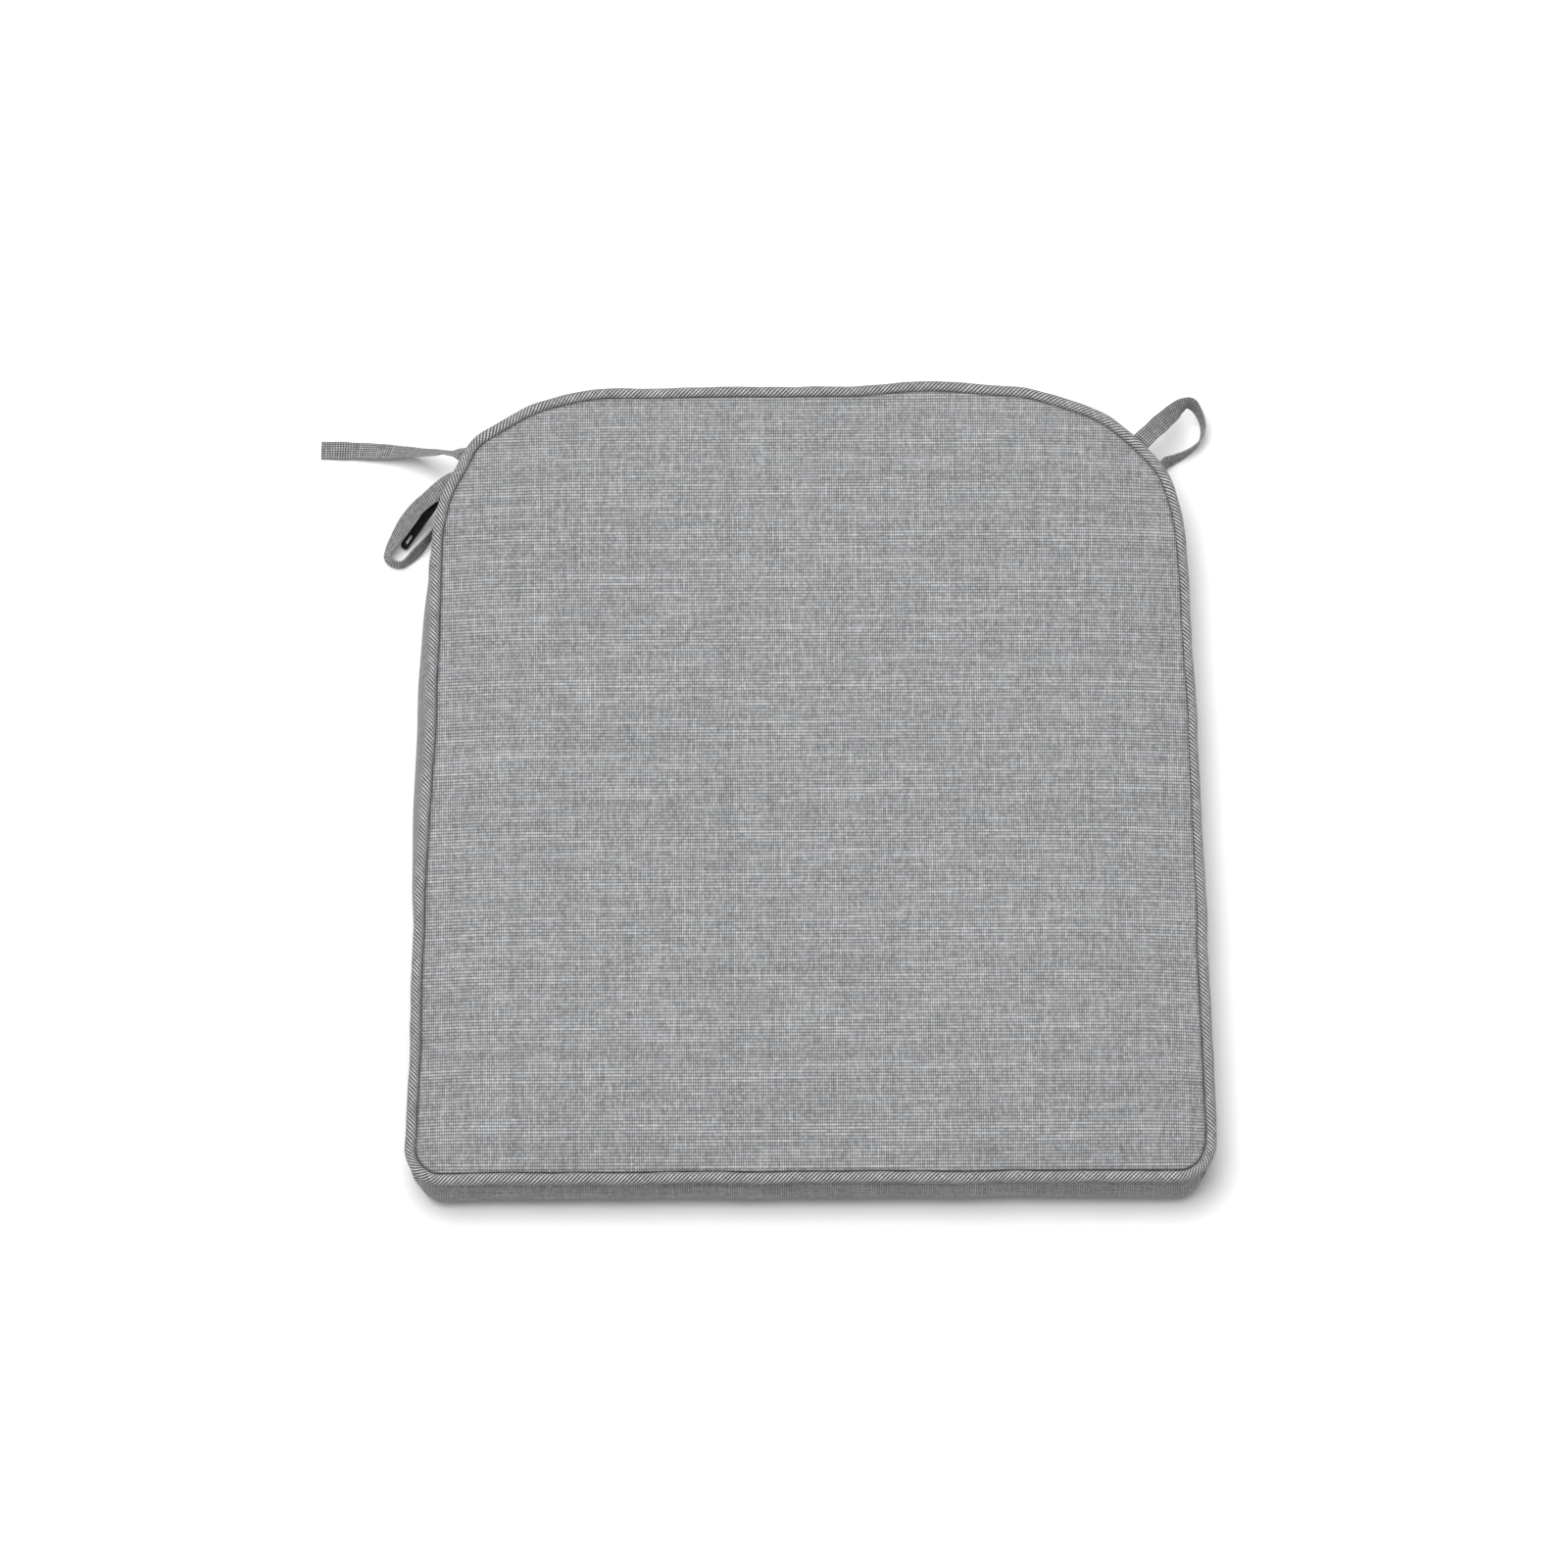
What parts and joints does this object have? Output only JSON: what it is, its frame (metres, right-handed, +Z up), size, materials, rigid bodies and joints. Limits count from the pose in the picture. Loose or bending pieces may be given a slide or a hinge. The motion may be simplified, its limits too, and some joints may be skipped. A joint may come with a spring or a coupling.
{
  "type": "chair seat pad",
  "caption": "Boxed seat pad for a dining chair, tapered towards a rounded rear, with piped edges, a rear zip and corner ties.",
  "frame": {"origin": "bottom centre of the pad without its ties, on the surface that it rests on", "axes": "+Z up, -Y towards the square front edge, +Y towards the rounded rear, +X to the right in a view along +Y"},
  "size_m": [0.5078, 0.462, 0.0516],
  "materials": {
    "cover_cloth": "heathered grey plain weave, matt",
    "piping_cloth": "the cover cloth cut on the bias",
    "tie_cloth": "the cover cloth folded and stitched",
    "filler_cord": "twisted cotton",
    "foam": "open-cell polyurethane foam",
    "polyester_fibre": "loose white wadding",
    "zip_tape": "woven herringbone tape",
    "zip_coil": "black nylon coil",
    "black_metal": "semi-gloss black",
    "pull_enamel": "gloss black enamel",
    "label_satin": "blank white satin"
  },
  "bodies": {
    "cushion": {"top_panel": "cover_cloth", "bottom_panel": "cover_cloth", "boxing_strip": "cover_cloth", "zip_placket_upper": "cover_cloth", "zip_placket_lower": "cover_cloth", "top_piping_cover": "piping_cloth", "bottom_piping_cover": "piping_cloth", "top_piping_cord": "filler_cord", "bottom_piping_cord": "filler_cord", "foam_core": "foam", "fibre_wrap_top": "polyester_fibre", "fibre_wrap_edge": "polyester_fibre", "fibre_wrap_bottom": "polyester_fibre", "zip_tape_upper": "zip_tape", "zip_tape_lower": "zip_tape", "zip_coil_upper": "zip_coil", "zip_coil_lower": "zip_coil", "zip_stop_left": "black_metal", "zip_stop_right": "black_metal", "tie_left_straight": "tie_cloth", "tie_left_loop": "tie_cloth", "tie_right_loop": "tie_cloth", "tie_right_hanging": "tie_cloth", "care_label": "label_satin"},
    "slider": {"zip_slider": "black_metal", "zip_pull_ring": "black_metal"},
    "pull": {"zip_pull": "pull_enamel"}
  },
  "joints": [
    {"name": "slider_travel", "type": "hinge", "parent": "cushion", "child": "slider", "pos_m": [-0.1155, 0.131, 0.025], "axis": [0, 0, -1], "range_deg": [0, 66]},
    {"name": "pull_swing", "type": "hinge", "parent": "slider", "child": "pull", "pos_m": [-0.21031, 0.17125, 0.025], "axis": [0, 0, -1], "range_deg": [0, 140]}
  ]
}
